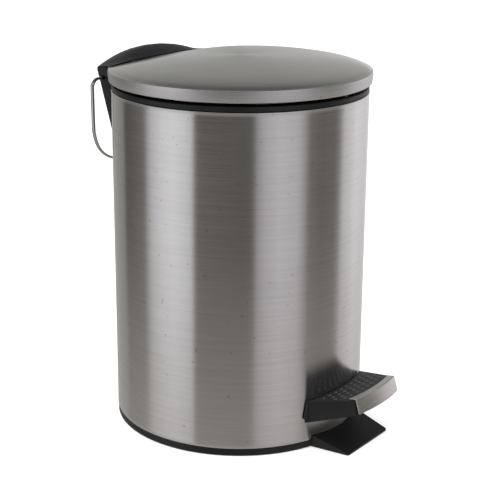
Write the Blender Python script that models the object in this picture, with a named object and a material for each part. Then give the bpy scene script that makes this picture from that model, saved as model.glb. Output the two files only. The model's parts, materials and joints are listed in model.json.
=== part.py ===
"""Five litre pedal bin: a steel cylinder with a hinged domed lid, a foot pedal,
the lever and push rod that join them, an inner bucket and a wire carry handle.

Frame: origin on the body's axis at floor level, +Z up, pedal towards -Y, hinge at +Y.
"""
import math

import bmesh
import bpy
from mathutils import Matrix, Vector

MM = 0.001
GAP = 0.3 * MM                      # clearance kept between pieces that touch

# Body
BODY_RADIUS = 102.5 * MM
SHEET = 0.8 * MM
BODY_LOW = 6.5 * MM
BODY_TOP = 273.2 * MM
ROUND_STEPS = 72                    # segments of the large turned pieces

# Base
BASE_UNDERSIDE = 0.4 * MM
BASE_RADIUS = 102.3 * MM
BASE_RING_TOP = 6.2 * MM
FLOOR_TOP = 3.0 * MM
BASE_WALL_OUTER = 101.3 * MM
BASE_WALL_INNER = 99.2 * MM
BASE_WALL_TOP = 18.0 * MM
PAD_RADIUS = 9.0 * MM
PAD_HEIGHT = 1.6 * MM
PAD_CIRCLE = 78.0 * MM

# Anti-tip tongue of the base
TONGUE_ROOT_HALF = 33.5 * MM
TONGUE_TIP_HALF = 29.5 * MM
TONGUE_REACH = 129.8 * MM
TONGUE_ROOT_HEIGHT = 8.8 * MM
TONGUE_TIP_HEIGHT = 2.0 * MM
TONGUE_CORNER = 2.2 * MM

# Lid
LID_CREASE_RADIUS = 103.6 * MM
LID_CREASE_HEIGHT = 288.4 * MM
DOME_RISE = 11.1 * MM
DOME_CHORD = 85.5 * MM              # behind this line the lid is flat, under the hood
DOME_RUN = 15.2 * MM                # length over which the dome fades out towards that line
DOME_BLEND = 6.0 * MM               # softens the change from dome to flat
DOME_RINGS = 7
LID_RADIUS = 105.0 * MM
LID_EDGE_RADIUS = 103.6 * MM
LID_LOW = 280.2 * MM
LINER_RADIUS = 98.6 * MM
LINER_LOW = 281.5 * MM
LINER_SHEET = 1.4 * MM
LINER_DROP = 2.2 * MM

# Lid hinge, and the lug that the push rod lifts
HINGE_Y = 110.0 * MM
HINGE_Z = 272.5 * MM
LID_TRAVEL = math.radians(80.0)
LUG_LENGTH = 20.0 * MM
LUG_HALF_THICKNESS = 3.6 * MM
KNUCKLE_RADIUS = 5.5 * MM
KNUCKLE_HALF = 11.3 * MM
HINGE_PIN_RADIUS = 2.0 * MM
HINGE_PIN_HALF = 23.5 * MM
LUG_PIN_RADIUS = 1.6 * MM
NECK_FRONT = 106.3 * MM
NECK_REAR = 113.0 * MM
CHEEK_INNER = 2.2 * MM
CHEEK_OUTER = 5.6 * MM

# Hood over the hinge
HOOD_HALF = 60.0 * MM
HOOD_TIP_HALF = 58.5 * MM
HOOD_CENTRE_Y = 85.0 * MM
HOOD_FRONT_DEPTH = 6.5 * MM
HOOD_SQUARENESS = 2.5
HOOD_REAR_RADIUS = 115.6 * MM
HOOD_RIM = 286.5 * MM
HOOD_ROLL = 28.0 * MM               # width of the rounded rear part
HOOD_SHELL = 2.2 * MM
HOOD_CLEARANCE = 0.5 * MM
HOOD_ROWS = 10
HOOD_END_RADII = (105.9 * MM, 115.0 * MM)
HOOD_EDGE_RISE = 1.3 * MM
HOOD_CREST = 299.2 * MM
HOOD_END = 288.3 * MM
HOOD_SWELL = 13.0 * MM              # run from the front edge up to the crest
HOOD_LIP_LOW = 281.5 * MM
HOOD_LIP_RISE = 1.5 * MM            # how much higher the lip is at the hood's two ends
HOOD_END_X = (57.0 * MM, 58.4 * MM)
HOOD_BOSS_RADIUS = 4.0 * MM

# Hinge bracket
BRACKET_HALF = 44.0 * MM
BRACKET_LOW = 217.0 * MM
BRACKET_TOP = 279.6 * MM
BRACKET_CHAMFER = 3.0 * MM
BRACKET_REAR_END = 111.8 * MM
BRACKET_REAR_MIDDLE = 114.4 * MM
BRACKET_FIT_RADIUS = 103.0 * MM
BRACKET_SCREW_X = 18.0 * MM
BRACKET_SCREW_HEIGHTS = (243.0 * MM, 256.0 * MM)
BRACKET_SLOT_HALF = 11.8 * MM       # room for the knuckle between the two hinge bores
POCKET_INNER = 27.0 * MM
POCKET_OUTER = 41.4 * MM
POCKET_LOW = 232.0 * MM
POCKET_HIGH = 266.0 * MM
PLATE_RADII = (99.9 * MM, 101.2 * MM)
PLATE_HALF_ANGLE = 15.5             # degrees
PLATE_HEIGHTS = (237.0 * MM, 261.5 * MM)

# Carry handle
WIRE_RADIUS = 1.8 * MM
WIRE_FLATNESS = 0.6                 # the wire's thickness in the plane of the handle, per width
HANDLE_Y = 107.0 * MM
HANDLE_Z = 275.5 * MM
HANDLE_HALF = 57.2 * MM
HANDLE_LOW = 203.2 * MM
HANDLE_SQUARENESS = 0.68            # exponent of the bend below the handle's straight sides
HANDLE_END = 36.0 * MM
HANDLE_BEND = 7.0 * MM
HANDLE_BOW = 42.0 * MM              # height of the curved lower part

# Pedal
PEDAL_ROOT_HALF = 39.5 * MM
PEDAL_TIP_HALF = 30.4 * MM
PEDAL_TOP_REACH = 133.4 * MM
PEDAL_BOW = 4.0 * MM
PEDAL_FIT_RADIUS = 103.1 * MM
PEDAL_TOP_AT_BODY = 42.6 * MM
PEDAL_TOP_SLOPE = 0.205
PEDAL_LOW_AT_BODY = 22.7 * MM
PEDAL_LOW_SLOPE = 0.353
PEDAL_WALL = 2.4 * MM
PEDAL_FRONT_LEAN = 3.0 * MM
TRIM_SHEET = 1.0 * MM
TRIM_FLANGE = 5.6 * MM
TRIM_DROP = 12.0 * MM
TRIM_HALF = 29.0 * MM
PEDAL_SCREW_Y = -116.0 * MM
PEDAL_SCREW_X = 4.8 * MM
FLANGE_HALVES = (41.6 * MM, 39.4 * MM)          # of the lip along the body, below and above
FLANGE_HEIGHTS = (26.5 * MM, 40.5 * MM)
FLANGE_SHEET = 2.4 * MM

# Lever and push rod
PIVOT_Y = -33.5 * MM
PIVOT_Z = 14.0 * MM
LEVER_HALF = 8.0 * MM
LEVER_TAB = (-127.0 * MM, -106.0 * MM)          # y of the flat end under the pedal
LEVER_BEND = (-45.0 * MM, 18.3 * MM)
LEVER_REAR = (97.0 * MM, 8.0 * MM)
LEVER_SLOT_HALF = 11.0 * MM
LEVER_SLOT_HEIGHTS = (19.5 * MM, 41.2 * MM)
LEVER_SHEET = 2.5 * MM
SLEEVE_RADIUS = 3.8 * MM
PIVOT_PIN_RADIUS = 2.0 * MM
ROD_Y = 92.5 * MM
ROD_RADIUS = 2.5 * MM
ROD_LOW = 14.0 * MM
FOOT_RADIUS = 5.0 * MM
GUIDE_HEIGHTS = {"lower": 70.0 * MM, "upper": 196.0 * MM}
GUIDE_HALF_HEIGHT = 6.0 * MM
GUIDE_HALF = 8.0 * MM
GUIDE_FRONT = 88.5 * MM

# Collar, bucket and bail
COLLAR_TOP = 277.5 * MM
LEDGE_TOP = 272.5 * MM
BUCKET_RIM_RADIUS = 95.8 * MM
BUCKET_TOP_RADIUS = 83.5 * MM
BUCKET_LOW_RADIUS = 78.5 * MM
BUCKET_LOW = 46.0 * MM
BUCKET_WALL = 1.4 * MM
BAIL_RADIUS = 88.5 * MM
BAIL_WIRE = 1.5 * MM
NOTCH_HALF = 8.5 * MM               # rear notch that the lug and rod head rise through
NOTCH_LOW = 258.0 * MM
COLLAR_LOW = 262.0 * MM
COLLAR_INNER = 97.5 * MM
COLLAR_SKIRT_INNER = 99.3 * MM
LEDGE_INNER = 87.0 * MM
LEDGE_SHEET = 2.2 * MM
EAR_HALF = 4.5 * MM
EAR_SIDES = (84.2 * MM, 86.6 * MM)


# ---------------------------------------------------------------- helpers

def clear_scene():
    for item in list(bpy.data.objects):
        bpy.data.objects.remove(item, do_unlink=True)


def make_material(name, color, roughness, metallic):
    material = bpy.data.materials.new(name)
    material.use_nodes = True
    shader = material.node_tree.nodes["Principled BSDF"]
    shader.inputs["Base Color"].default_value = (*color, 1.0)
    shader.inputs["Roughness"].default_value = roughness
    shader.inputs["Metallic"].default_value = metallic
    material.diffuse_color = (*color, 1.0)
    return material


def object_from(name, bm):
    bmesh.ops.recalc_face_normals(bm, faces=bm.faces)
    mesh = bpy.data.meshes.new(name)
    bm.to_mesh(mesh)
    bm.free()
    thing = bpy.data.objects.new(name, mesh)
    bpy.context.collection.objects.link(thing)
    return thing


def boolean(thing, tool, operation):
    """Cut tool from thing, or join it on, and remove the tool."""
    modifier = thing.modifiers.new(operation, "BOOLEAN")
    modifier.object = tool
    modifier.operation = operation
    modifier.solver = "EXACT"
    graph = bpy.context.evaluated_depsgraph_get()
    mesh = bpy.data.meshes.new_from_object(thing.evaluated_get(graph))
    thing.modifiers.remove(modifier)
    thing.data = mesh
    bpy.data.objects.remove(tool, do_unlink=True)


def cut(thing, *tools):
    for tool in tools:
        boolean(thing, tool, "DIFFERENCE")


def join(thing, *tools):
    for tool in tools:
        boolean(thing, tool, "UNION")


def lofted(name, rings):
    """Closed solid through rings of points, each ring with the same count."""
    bm = bmesh.new()
    loops = [[bm.verts.new(point) for point in ring] for ring in rings]
    count = len(loops[0])
    for low, high in zip(loops, loops[1:]):
        for i in range(count):
            j = (i + 1) % count
            bm.faces.new((low[i], low[j], high[j], high[i]))
    bm.faces.new(list(reversed(loops[0])))
    bm.faces.new(loops[-1])
    return object_from(name, bm)


def prism(name, outline, axis, low, high):
    """Outline extruded along an axis: X takes (y, z), Y takes (x, z), Z takes (x, y)."""
    place = {
        "X": lambda p, t: (t, p[0], p[1]),
        "Y": lambda p, t: (p[0], t, p[1]),
        "Z": lambda p, t: (p[0], p[1], t),
    }[axis]
    return lofted(name, [[place(p, low) for p in outline], [place(p, high) for p in outline]])


def block(name, low, high):
    corners = [(low[0], low[1]), (high[0], low[1]), (high[0], high[1]), (low[0], high[1])]
    return prism(name, corners, "Z", low[2], high[2])


def circle(centre, radius, steps, start=0.0):
    turn = 2 * math.pi / steps
    return [(centre[0] + radius * math.cos(start + turn * i),
             centre[1] + radius * math.sin(start + turn * i)) for i in range(steps)]


def rod(name, axis, centre, radius, low, high, steps=20):
    return prism(name, circle(centre, radius, steps, math.pi / steps), axis, low, high)


def turned(name, profile, steps=ROUND_STEPS):
    """Closed (radius, height) profile turned about +Z; radius 0 is on the axis."""
    bm = bmesh.new()
    rings = []
    for radius, height in profile:
        if radius == 0:
            rings.append([bm.verts.new((0, 0, height))] * steps)
        else:
            rings.append([bm.verts.new((x, y, height)) for x, y in circle((0, 0), radius, steps)])
    for ring, after in zip(rings, rings[1:] + rings[:1]):
        for i in range(steps):
            j = (i + 1) % steps
            corners = list(dict.fromkeys((ring[i], ring[j], after[j], after[i])))
            if len(corners) > 2:
                bm.faces.new(corners)
    return object_from(name, bm)


def arc(centre, radius, first, last, steps):
    """Points from angle first to angle last, in degrees from +X."""
    angles = [math.radians(first + (last - first) * i / steps) for i in range(steps + 1)]
    return [(centre[0] + radius * math.cos(a), centre[1] + radius * math.sin(a)) for a in angles]


def ring_sector(name, inner, outer, half_angle, low, high, steps=16):
    """Piece of a ring centred on the +Y direction."""
    first, last = 90 - half_angle, 90 + half_angle
    outline = arc((0, 0), outer, first, last, steps) + arc((0, 0), inner, last, first, steps)
    return prism(name, outline, "Z", low, high)


def rounded(corners, radius, steps=4):
    """Convex outline with each corner replaced by an arc."""
    outline = []
    count = len(corners)
    for i, corner in enumerate(corners):
        here = Vector(corner)
        before = (Vector(corners[i - 1]) - here).normalized()
        after = (Vector(corners[(i + 1) % count]) - here).normalized()
        half = before.angle(after) / 2
        start = here + before * radius / math.tan(half)
        end = here + after * radius / math.tan(half)
        centre = here + (before + after).normalized() * radius / math.sin(half)
        for k in range(steps + 1):
            spoke = (start - centre).lerp(end - centre, k / steps).normalized()
            outline.append(tuple(centre + spoke * radius))
    return outline


def wire(name, points, radius, side, sides=8, flatness=1.0):
    """Wire swept along points in one plane; side is that plane's normal."""
    bm = bmesh.new()
    places = [Vector(p) for p in points]
    rings = []
    for i, place in enumerate(places):
        along = (places[min(i + 1, len(places) - 1)] - places[max(i - 1, 0)]).normalized()
        up = along.cross(side) * flatness
        ring = []
        for k in range(sides):
            turn = 2 * math.pi * k / sides
            ring.append(bm.verts.new(place + radius * (side * math.cos(turn) + up * math.sin(turn))))
        rings.append(ring)
    for ring, after in zip(rings, rings[1:]):
        for k in range(sides):
            j = (k + 1) % sides
            bm.faces.new((ring[k], ring[j], after[j], after[k]))
    bm.faces.new(list(reversed(rings[0])))
    bm.faces.new(rings[-1])
    return object_from(name, bm)


def screw(name, foot, direction, shank, length, head_radius, head_height):
    """Screw whose shank starts at foot; its head is at the end away from direction."""
    steps = 20
    bevel = head_height * 0.35
    profile = [(0, 0), (head_radius - bevel, 0), (head_radius, bevel), (head_radius, head_height),
               (shank, head_height), (shank, head_height + length), (0, head_height + length)]
    thing = turned(name, profile, steps)
    turn = Vector((0, 0, 1)).rotation_difference(Vector(direction)).to_matrix().to_4x4()
    thing.data.transform(Matrix.Translation(Vector(foot)) @ turn
                         @ Matrix.Translation((0, 0, -head_height)))
    return thing


def finish(thing, material, parent=None):
    """Give the object its material, smooth shading and parent."""
    thing.data.materials.clear()
    thing.data.materials.append(material)
    thing.data.shade_smooth()
    thing.data.set_sharp_from_angle(angle=math.radians(35))
    if parent:
        thing.parent = parent
        thing.matrix_parent_inverse = parent.matrix_world.inverted()
    return thing


def pivot(name, place):
    empty = bpy.data.objects.new(name, None)
    empty.location = place
    empty.empty_display_size = 20 * MM
    bpy.context.collection.objects.link(empty)
    bpy.context.view_layer.update()
    return empty


# ---------------------------------------------------------------- body

def dome(x, y):
    """Height of the lid's outer surface over a point of the plan."""
    share = max(1 - (x * x + y * y) / LID_CREASE_RADIUS ** 2, 0)
    ahead = DOME_CHORD - y
    ahead = (ahead + math.hypot(ahead, DOME_BLEND)) / 2
    fade = 1 - math.exp(-ahead / DOME_RUN)
    return LID_CREASE_HEIGHT + DOME_RISE * math.sqrt(share) * fade


def dome_radii(radius):
    """Radii of the rings that draw the dome, closer together towards its edge."""
    return [radius * math.sin(math.pi / 2 * i / DOME_RINGS) for i in range(DOME_RINGS + 1)]


def lift_to_dome(thing):
    """Heights near zero are distances from the dome's surface: turn them into real heights."""
    for vertex in thing.data.vertices:
        if vertex.co.z < LID_LOW / 2:
            vertex.co.z += dome(vertex.co.x, vertex.co.y)


def rear_notch(front, low):
    """Cutter for the opening at the back that the lug and the rod head pass through."""
    return block("notch", (-NOTCH_HALF, front, low), (NOTCH_HALF, 110 * MM, 290 * MM))


def body_shell():
    bead = 0.2 * MM
    profile = [(BODY_RADIUS - SHEET, BODY_LOW), (BODY_RADIUS, BODY_LOW),
               (BODY_RADIUS, BODY_TOP - 2.6 * MM), (BODY_RADIUS + bead, BODY_TOP - 2.0 * MM),
               (BODY_RADIUS + bead, BODY_TOP - 0.5 * MM), (BODY_RADIUS - bead, BODY_TOP),
               (BODY_RADIUS - SHEET, BODY_TOP)]
    shell = turned("body_shell", profile)
    slot_low, slot_high = LEVER_SLOT_HEIGHTS
    cut(shell, block("slot", (-LEVER_SLOT_HALF, -110 * MM, slot_low),
                     (LEVER_SLOT_HALF, -90 * MM, slot_high)))
    cut(shell, rear_notch(90 * MM, NOTCH_LOW))
    cut(shell, *bracket_screw_holes())
    for z in GUIDE_HEIGHTS.values():
        cut(shell, rod("hole", "Y", (0, z), 1.9 * MM, 90 * MM, 110 * MM, 16))
    return shell


def tongue():
    inner_y = -92 * MM
    corner = TONGUE_CORNER / math.tan(math.radians(45))
    front = arc((TONGUE_TIP_HALF - corner, -TONGUE_REACH + corner), TONGUE_CORNER, 0, -90, 4)
    outline = [(TONGUE_ROOT_HALF, inner_y)] + front
    outline += [(-x, y) for x, y in reversed(front)] + [(-TONGUE_ROOT_HALF, inner_y)]
    slope = (TONGUE_ROOT_HEIGHT - TONGUE_TIP_HEIGHT) / (TONGUE_REACH - PEDAL_FIT_RADIUS)
    low = [(x, y, BASE_UNDERSIDE + 0.2 * MM) for x, y in outline]
    high = [(x, y, TONGUE_TIP_HEIGHT + slope * (y + TONGUE_REACH)) for x, y in outline]
    wedge = lofted("tongue", [low, high])
    under_body = BASE_RING_TOP - 0.2 * MM
    cut(wedge, rod("clear", "Z", (0, 0), BODY_RADIUS + 2 * GAP, under_body, 60 * MM, ROUND_STEPS),
        rod("inside", "Z", (0, 0), BASE_WALL_INNER + MM, -1 * MM, 60 * MM, ROUND_STEPS))
    return wedge


def base_tray():
    profile = [(0, BASE_UNDERSIDE), (BASE_RADIUS - 0.6 * MM, BASE_UNDERSIDE),
               (BASE_RADIUS, BASE_UNDERSIDE + 0.6 * MM), (BASE_RADIUS, BASE_RING_TOP),
               (BASE_WALL_OUTER, BASE_RING_TOP), (BASE_WALL_OUTER, BASE_WALL_TOP),
               (BASE_WALL_INNER, BASE_WALL_TOP), (BASE_WALL_INNER, FLOOR_TOP), (0, FLOOR_TOP)]
    tray = turned("base_tray", profile)
    join(tray, tongue())
    for x, y in pad_places():
        cut(tray, rod("recess", "Z", (x, y), PAD_RADIUS + GAP, -1 * MM, PAD_HEIGHT + GAP, 32))
    for y in rivet_places():
        cut(tray, rod("hole", "Z", (0, y), 1.8 * MM, -1 * MM, 9 * MM, 16))
    return tray


def pad_places():
    return circle((0, 0), PAD_CIRCLE, 4, math.radians(45))


def rivet_places():
    return (PIVOT_Y - 8.5 * MM, PIVOT_Y + 8.5 * MM)


def lever_bracket():
    half = 11.0 * MM
    sheet = 2.0 * MM
    low = FLOOR_TOP + GAP
    outline = [(-half, low), (half, low), (half, PIVOT_Z + 5 * MM), (half - sheet, PIVOT_Z + 5 * MM),
               (half - sheet, low + sheet), (-half + sheet, low + sheet),
               (-half + sheet, PIVOT_Z + 5 * MM), (-half, PIVOT_Z + 5 * MM)]
    bracket = prism("lever_bracket", outline, "Y", PIVOT_Y - 13 * MM, PIVOT_Y + 13 * MM)
    cut(bracket, rod("hole", "X", (PIVOT_Y, PIVOT_Z), PIVOT_PIN_RADIUS + GAP, -20 * MM, 20 * MM))
    for y in rivet_places():
        cut(bracket, rod("hole", "Z", (0, y), 1.8 * MM, -1 * MM, 9 * MM, 16))
    return bracket


def top_collar():
    outer = BODY_RADIUS - 0.2 * MM
    ledge_low = LEDGE_TOP - LEDGE_SHEET
    profile = [(BASE_WALL_OUTER, COLLAR_LOW), (BASE_WALL_OUTER, BODY_TOP + GAP),
               (outer, BODY_TOP + GAP), (outer, COLLAR_TOP - 1.2 * MM),
               (outer - 1.2 * MM, COLLAR_TOP), (COLLAR_INNER, COLLAR_TOP), (COLLAR_INNER, LEDGE_TOP),
               (LEDGE_INNER, LEDGE_TOP), (LEDGE_INNER, ledge_low),
               (COLLAR_SKIRT_INNER, ledge_low), (COLLAR_SKIRT_INNER, COLLAR_LOW)]
    collar = turned("top_collar", profile)
    cut(collar, rear_notch(60 * MM, 250 * MM))
    return collar


def rod_guide(label, height):
    low, high = height - GUIDE_HALF_HEIGHT, height + GUIDE_HALF_HEIGHT
    ends = [(-GUIDE_HALF, GUIDE_FRONT), (GUIDE_HALF, GUIDE_FRONT)]
    outline = ends + arc((0, 0), BASE_WALL_OUTER, 85.4, 94.6, 4)
    guide = prism("rod_guide_" + label, outline, "Z", low, high)
    cut(guide, rod("bore", "Z", (0, ROD_Y), ROD_RADIUS + GAP, low - MM, high + MM))
    cut(guide, rod("hole", "Y", (0, height), 1.9 * MM, 96.8 * MM, 110 * MM, 16))
    return guide


# ---------------------------------------------------------------- hinge bracket

def bracket_ring(z, blend, inset):
    """Plan of the bracket: blend 0 hugs the body, blend 1 is the full rear face."""
    steps = 16
    front_y = 80 * MM
    points = []
    for i in range(steps + 1):
        part = -1 + 2 * i / steps
        x = part * (BRACKET_HALF - inset / 2)
        hug = math.sqrt((BRACKET_FIT_RADIUS + 0.7 * MM) ** 2 - x * x)
        full = BRACKET_REAR_MIDDLE - (BRACKET_REAR_MIDDLE - BRACKET_REAR_END) * part * part
        points.append((x, hug + (full - hug) * blend - inset, z))
    return points + [(BRACKET_HALF - inset / 2, front_y, z), (-BRACKET_HALF + inset / 2, front_y, z)]


def hinge_bracket():
    shoulder = BRACKET_TOP - BRACKET_CHAMFER
    rings = [bracket_ring(BRACKET_LOW, 0, 0), bracket_ring(shoulder, 1, 0),
             bracket_ring(shoulder + 2 * MM, 1, 1 * MM), bracket_ring(BRACKET_TOP, 1, BRACKET_CHAMFER)]
    bracket = lofted("hinge_bracket", rings)
    cut(bracket, rod("body", "Z", (0, 0), BRACKET_FIT_RADIUS, 200 * MM, 300 * MM, ROUND_STEPS))
    for side in (-1, 1):
        inner, outer = side * POCKET_INNER, side * POCKET_OUTER
        low = [(inner, 80 * MM), (outer, 80 * MM), (outer, 95.5 * MM), (inner, 101.5 * MM)]
        high = [(inner, 80 * MM), (outer, 80 * MM), (outer, 106 * MM), (inner, 108 * MM)]
        cut(bracket, lofted("pocket", [[(x, y, POCKET_LOW) for x, y in low],
                                       [(x, y, POCKET_HIGH) for x, y in high]]))
        ends = sorted((side * 34 * MM, side * 50 * MM))
        cut(bracket, rod("bore", "X", (HANDLE_Y, HANDLE_Z), WIRE_RADIUS + GAP, *ends))
        for z in BRACKET_SCREW_HEIGHTS:
            cut(bracket, rod("hole", "Y", (side * BRACKET_SCREW_X, z), 1.8 * MM, 90 * MM, 105.2 * MM, 16))
    cut(bracket, block("slot", (-BRACKET_SLOT_HALF, 95 * MM, NOTCH_LOW),
                       (BRACKET_SLOT_HALF, 125 * MM, 290 * MM)))
    cut(bracket, rod("bore", "X", (HINGE_Y, HINGE_Z), HINGE_PIN_RADIUS + GAP, -30 * MM, 30 * MM))
    return bracket


def backing_plate():
    plate = ring_sector("backing_plate", *PLATE_RADII, PLATE_HALF_ANGLE, *PLATE_HEIGHTS)
    cut(plate, rear_notch(90 * MM, NOTCH_LOW - 2 * MM))
    cut(plate, *bracket_screw_holes())
    return plate


def bracket_screw_holes():
    places = [(x, z) for x in (-BRACKET_SCREW_X, BRACKET_SCREW_X) for z in BRACKET_SCREW_HEIGHTS]
    return [rod("hole", "Y", place, 2.0 * MM, 90 * MM, 110 * MM, 16) for place in places]


def handle_points():
    """Half of the handle, from its pivot end down to the middle of the grip."""
    top = [(HANDLE_END, HANDLE_Z), (HANDLE_HALF - HANDLE_BEND - 3 * MM, HANDLE_Z)]
    shoulder = arc((HANDLE_HALF - HANDLE_BEND, HANDLE_Z - HANDLE_BEND), HANDLE_BEND, 90, 0, 6)
    curve = []
    for i in range(10):
        turn = math.pi / 2 * i / 9
        curve.append((HANDLE_HALF * math.cos(turn) ** HANDLE_SQUARENESS,
                      HANDLE_LOW + HANDLE_BOW * (1 - math.sin(turn) ** HANDLE_SQUARENESS)))
    return top + shoulder + curve


def carry_handle():
    half = [(x, HANDLE_Y, z) for x, z in handle_points()]
    other = [(-x, y, z) for x, y, z in reversed(half[:-1])]
    return wire("carry_handle", half + other, WIRE_RADIUS, Vector((0, 1, 0)), 10, WIRE_FLATNESS)


# ---------------------------------------------------------------- bucket

def inner_bucket():
    rim_low = LEDGE_TOP + GAP
    rim_top = rim_low + 1.8 * MM
    profile = [(0, BUCKET_LOW), (BUCKET_LOW_RADIUS - 3 * MM, BUCKET_LOW),
               (BUCKET_LOW_RADIUS, BUCKET_LOW + 3 * MM), (BUCKET_TOP_RADIUS, rim_low),
               (BUCKET_RIM_RADIUS, rim_low), (BUCKET_RIM_RADIUS, rim_top),
               (BUCKET_TOP_RADIUS - BUCKET_WALL, rim_top),
               (BUCKET_LOW_RADIUS - BUCKET_WALL, BUCKET_LOW + 3.5 * MM),
               (BUCKET_LOW_RADIUS - 3.6 * MM, BUCKET_LOW + 2 * MM), (0, BUCKET_LOW + 2 * MM)]
    bucket = turned("inner_bucket", profile)
    cut(bucket, rear_notch(84.6 * MM, 260 * MM))
    ear_low, ear_high = rim_low + MM, rim_top + 5.5 * MM
    corners = [(-EAR_HALF, ear_low), (EAR_HALF, ear_low), (EAR_HALF, ear_high), (-EAR_HALF, ear_high)]
    for side in (-1, 1):
        ends = sorted(side * x for x in EAR_SIDES)
        join(bucket, prism("ear", rounded(corners, 0.9 * MM, 3), "X", *ends))
        hole = sorted((side * 80 * MM, side * 90 * MM))
        cut(bucket, rod("hole", "X", (0, bail_height()), BAIL_WIRE + 1.4 * GAP, *hole, 16))
    return bucket


def bail_height():
    return LEDGE_TOP + 1.8 * MM + GAP + BAIL_WIRE + 0.8 * MM


def bucket_bail():
    z = bail_height()
    bow = [(x, y, z) for x, y in arc((0, 0), BAIL_RADIUS, -4, -176, 24)]
    points = [(83 * MM, 0, z), (BAIL_RADIUS - 1.5 * MM, 0, z), (BAIL_RADIUS - 0.4 * MM, -1.7 * MM, z)] + bow
    points += [(-BAIL_RADIUS + 0.4 * MM, -1.7 * MM, z), (-BAIL_RADIUS + 1.5 * MM, 0, z), (-83 * MM, 0, z)]
    return wire("bucket_bail", points, BAIL_WIRE, Vector((0, 0, 1)))


# ---------------------------------------------------------------- lid

def lid_cap():
    rings = dome_radii(LID_CREASE_RADIUS)
    outer = [(r, 0) for r in rings]
    rim = [(LID_RADIUS - 0.3 * MM, LID_CREASE_HEIGHT - 0.9 * MM),
           (LID_RADIUS, LID_CREASE_HEIGHT - 2.2 * MM), (LID_EDGE_RADIUS, LID_LOW)]
    inner_rim = [(LID_EDGE_RADIUS - SHEET, LID_LOW),
                 (LID_RADIUS - SHEET, LID_CREASE_HEIGHT - 2.4 * MM)]
    inner = [(max(r - 0.6 * MM, 0), -SHEET) for r in reversed(rings)]
    cap = turned("lid_cap", outer + rim + inner_rim + inner)
    lift_to_dome(cap)
    cut(cap, *lid_screw_holes())
    return cap


def lid_liner():
    outer = [(r, -LINER_DROP) for r in dome_radii(LINER_RADIUS)]
    inner_radius = LINER_RADIUS - LINER_SHEET
    inner = [(r, -LINER_DROP - LINER_SHEET) for r in reversed(dome_radii(inner_radius))]
    profile = outer + [(LINER_RADIUS, LINER_LOW), (inner_radius, LINER_LOW)] + inner
    liner = turned("lid_liner", profile)
    lift_to_dome(liner)
    cut(liner, *lid_screw_holes())
    return liner


def lid_screw_holes():
    return [rod("hole", "Z", place, 1.9 * MM, 250 * MM, 320 * MM, 16) for place in lid_screw_places()]


def lid_screw_places():
    return ((-28 * MM, 89 * MM), (28 * MM, 89 * MM), (0, 90 * MM))


def hood_front(x):
    """The hood's bowed front edge: y at a given x."""
    across = max(1 - abs(x / HOOD_HALF) ** HOOD_SQUARENESS, 0)
    return HOOD_CENTRE_Y - HOOD_FRONT_DEPTH * across ** (1 / HOOD_SQUARENESS)


def hood_top(x, y):
    """Height of the hood's upper surface over a point of the plan."""
    across = max(1 - (x / HOOD_HALF) ** 2, 0)
    crest = HOOD_END + (HOOD_CREST - HOOD_END) * across
    along = min(max((y - hood_front(x)) / HOOD_SWELL, 0), 1)
    edge = dome(x, y) + HOOD_EDGE_RISE
    top = edge + max(crest - edge, 0) * math.sin(along * math.pi / 2)
    inward = min(max((HOOD_REAR_RADIUS - math.hypot(x, y)) / HOOD_ROLL, 0), 1)
    return HOOD_RIM + (top - HOOD_RIM) * math.sqrt(1 - (1 - inward) ** 2)


def hood_column(turn):
    """Outer and inner profile of the hood along one line from its front edge to its lip."""
    lean = math.sin(turn)
    front_x = math.copysign(HOOD_HALF * abs(lean) ** (2 / HOOD_SQUARENESS), lean)
    front = Vector((front_x, hood_front(front_x)))
    rear_x = HOOD_TIP_HALF * lean
    rear = Vector((rear_x, math.sqrt(HOOD_REAR_RADIUS ** 2 - rear_x ** 2)))
    rear_inside = rear * (1 - HOOD_SHELL / HOOD_REAR_RADIUS)
    outer, inner = [], []
    for i in range(HOOD_ROWS + 1):
        share = math.sin(math.pi / 2 * i / HOOD_ROWS)
        place = front.lerp(rear, share)
        outer.append((*place, hood_top(*place)))
        place = front.lerp(rear_inside, share)
        inner.append((*place, hood_underside(place)))
    lip = HOOD_LIP_LOW + HOOD_LIP_RISE * lean * lean
    return outer + [(*rear, lip), (*rear_inside, lip)] + list(reversed(inner))


def hood_underside(place):
    """Height of the hood's inner surface, kept clear of the lid."""
    top = hood_top(*place)
    under = top - HOOD_SHELL
    if place.length < LID_RADIUS + 3 * MM:
        under = max(under, dome(*place) + HOOD_CLEARANCE)
    return min(under, top - HOOD_CLEARANCE)


def hinge_arm():
    """Knuckle on the hinge pin, the neck up to the hood and the two cheeks of the lug."""
    knuckle = circle((HINGE_Y, HINGE_Z), KNUCKLE_RADIUS, 24)
    arm = prism("arm", knuckle, "X", -KNUCKLE_HALF, KNUCKLE_HALF)
    neck = [(y, HINGE_Z) for y in (NECK_FRONT, NECK_REAR)]
    for i in range(5):
        y = NECK_REAR + (NECK_FRONT - NECK_REAR) * i / 4
        neck.append((y, hood_top(KNUCKLE_HALF, y) - HOOD_SHELL / 2))
    join(arm, prism("neck", neck, "X", -KNUCKLE_HALF, KNUCKLE_HALF))
    angle = LID_TRAVEL / 2
    reach = LUG_LENGTH + 3.6 * MM
    along = Vector((-math.cos(angle), -math.sin(angle)))
    across = Vector((along.y, -along.x)) * LUG_HALF_THICKNESS
    start = Vector((HINGE_Y, HINGE_Z))
    end = start + along * reach
    corners = [start + across, end + across, end - across, start - across]
    lug = rounded([tuple(c) for c in corners], 2.4 * MM, 4)
    for side in (-1, 1):
        ends = sorted((side * CHEEK_INNER, side * CHEEK_OUTER))
        join(arm, prism("cheek", lug, "X", *ends))
    place = start + along * LUG_LENGTH
    cut(arm, rod("hole", "X", tuple(place), LUG_PIN_RADIUS + GAP, -10 * MM, 10 * MM, 16))
    return arm


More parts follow.
